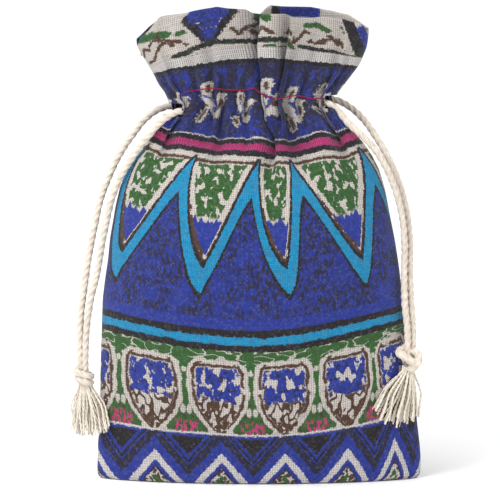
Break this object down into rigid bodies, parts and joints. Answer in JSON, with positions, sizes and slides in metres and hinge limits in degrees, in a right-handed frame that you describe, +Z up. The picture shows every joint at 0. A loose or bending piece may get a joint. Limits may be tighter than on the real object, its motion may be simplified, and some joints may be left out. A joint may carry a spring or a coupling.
{
  "type": "drawstring dice bag",
  "caption": "Upright cotton drawstring pouch with a gathered neck, flared header and knotted drawcords that hang at both sides with frayed tassels.",
  "frame": {"origin": "middle of the base, on the surface that the bag stands on", "axes": "+Z up through the neck to the header, -Y towards the front of the bag, +X to the right seen from the front"},
  "size_m": [0.1318, 0.05, 0.177],
  "materials": {
    "print_cloth": "open plain-weave cotton with a printed band pattern, matt",
    "cloth_reverse": "reverse of the printed cotton, paler, matt",
    "red_thread": "sewing thread, slight sheen",
    "cotton_cord": "twisted undyed cotton cord, matt and slightly fuzzy",
    "tassel_yarn": "frayed undyed cotton yarn, matt"
  },
  "bodies": {
    "bag": {"front_panel": "print_cloth", "back_panel": "print_cloth", "base_fold": "print_cloth", "left_side_seam": "cloth_reverse", "right_side_seam": "cloth_reverse", "front_casing_outer": "print_cloth", "front_casing_inner": "cloth_reverse", "back_casing_outer": "print_cloth", "back_casing_inner": "cloth_reverse", "front_casing_stitches": "red_thread", "back_casing_stitches": "red_thread", "left_cord_loop": "cotton_cord", "right_cord_loop": "cotton_cord"},
    "front_mouth": {"front_header": "print_cloth", "front_hem_facing": "cloth_reverse"},
    "back_mouth": {"back_header": "print_cloth", "back_hem_facing": "cloth_reverse"},
    "left_drawcord": {"left_channel_runs": "cotton_cord"},
    "left_cord_end": {"left_front_strand": "cotton_cord", "left_back_strand": "cotton_cord", "left_knot": "cotton_cord", "left_tassel": "tassel_yarn"},
    "right_drawcord": {"right_channel_runs": "cotton_cord"},
    "right_cord_end": {"right_front_strand": "cotton_cord", "right_back_strand": "cotton_cord", "right_knot": "cotton_cord", "right_tassel": "tassel_yarn"}
  },
  "joints": [
    {"name": "front_mouth_open", "type": "hinge", "parent": "bag", "child": "front_mouth", "pos_m": [0, -0.0118, 0.1468], "axis": [1, 0, 0], "range_deg": [0, 24]},
    {"name": "back_mouth_open", "type": "hinge", "parent": "bag", "child": "back_mouth", "pos_m": [0, 0.0118, 0.1468], "axis": [-1, 0, 0], "range_deg": [0, 24]},
    {"name": "left_pull", "type": "slide", "parent": "bag", "child": "left_drawcord", "axis": [-1, 0, 0], "range_m": [0, 0.018]},
    {"name": "right_pull", "type": "slide", "parent": "bag", "child": "right_drawcord", "axis": [1, 0, 0], "range_m": [0, 0.018]},
    {"name": "left_swing", "type": "hinge", "parent": "left_drawcord", "child": "left_cord_end", "pos_m": [-0.027, 0, 0.14005], "axis": [0, 1, 0], "range_deg": [0, 40]},
    {"name": "right_swing", "type": "hinge", "parent": "right_drawcord", "child": "right_cord_end", "pos_m": [0.023, 0, 0.14295], "axis": [0, -1, 0], "range_deg": [0, 40]}
  ]
}
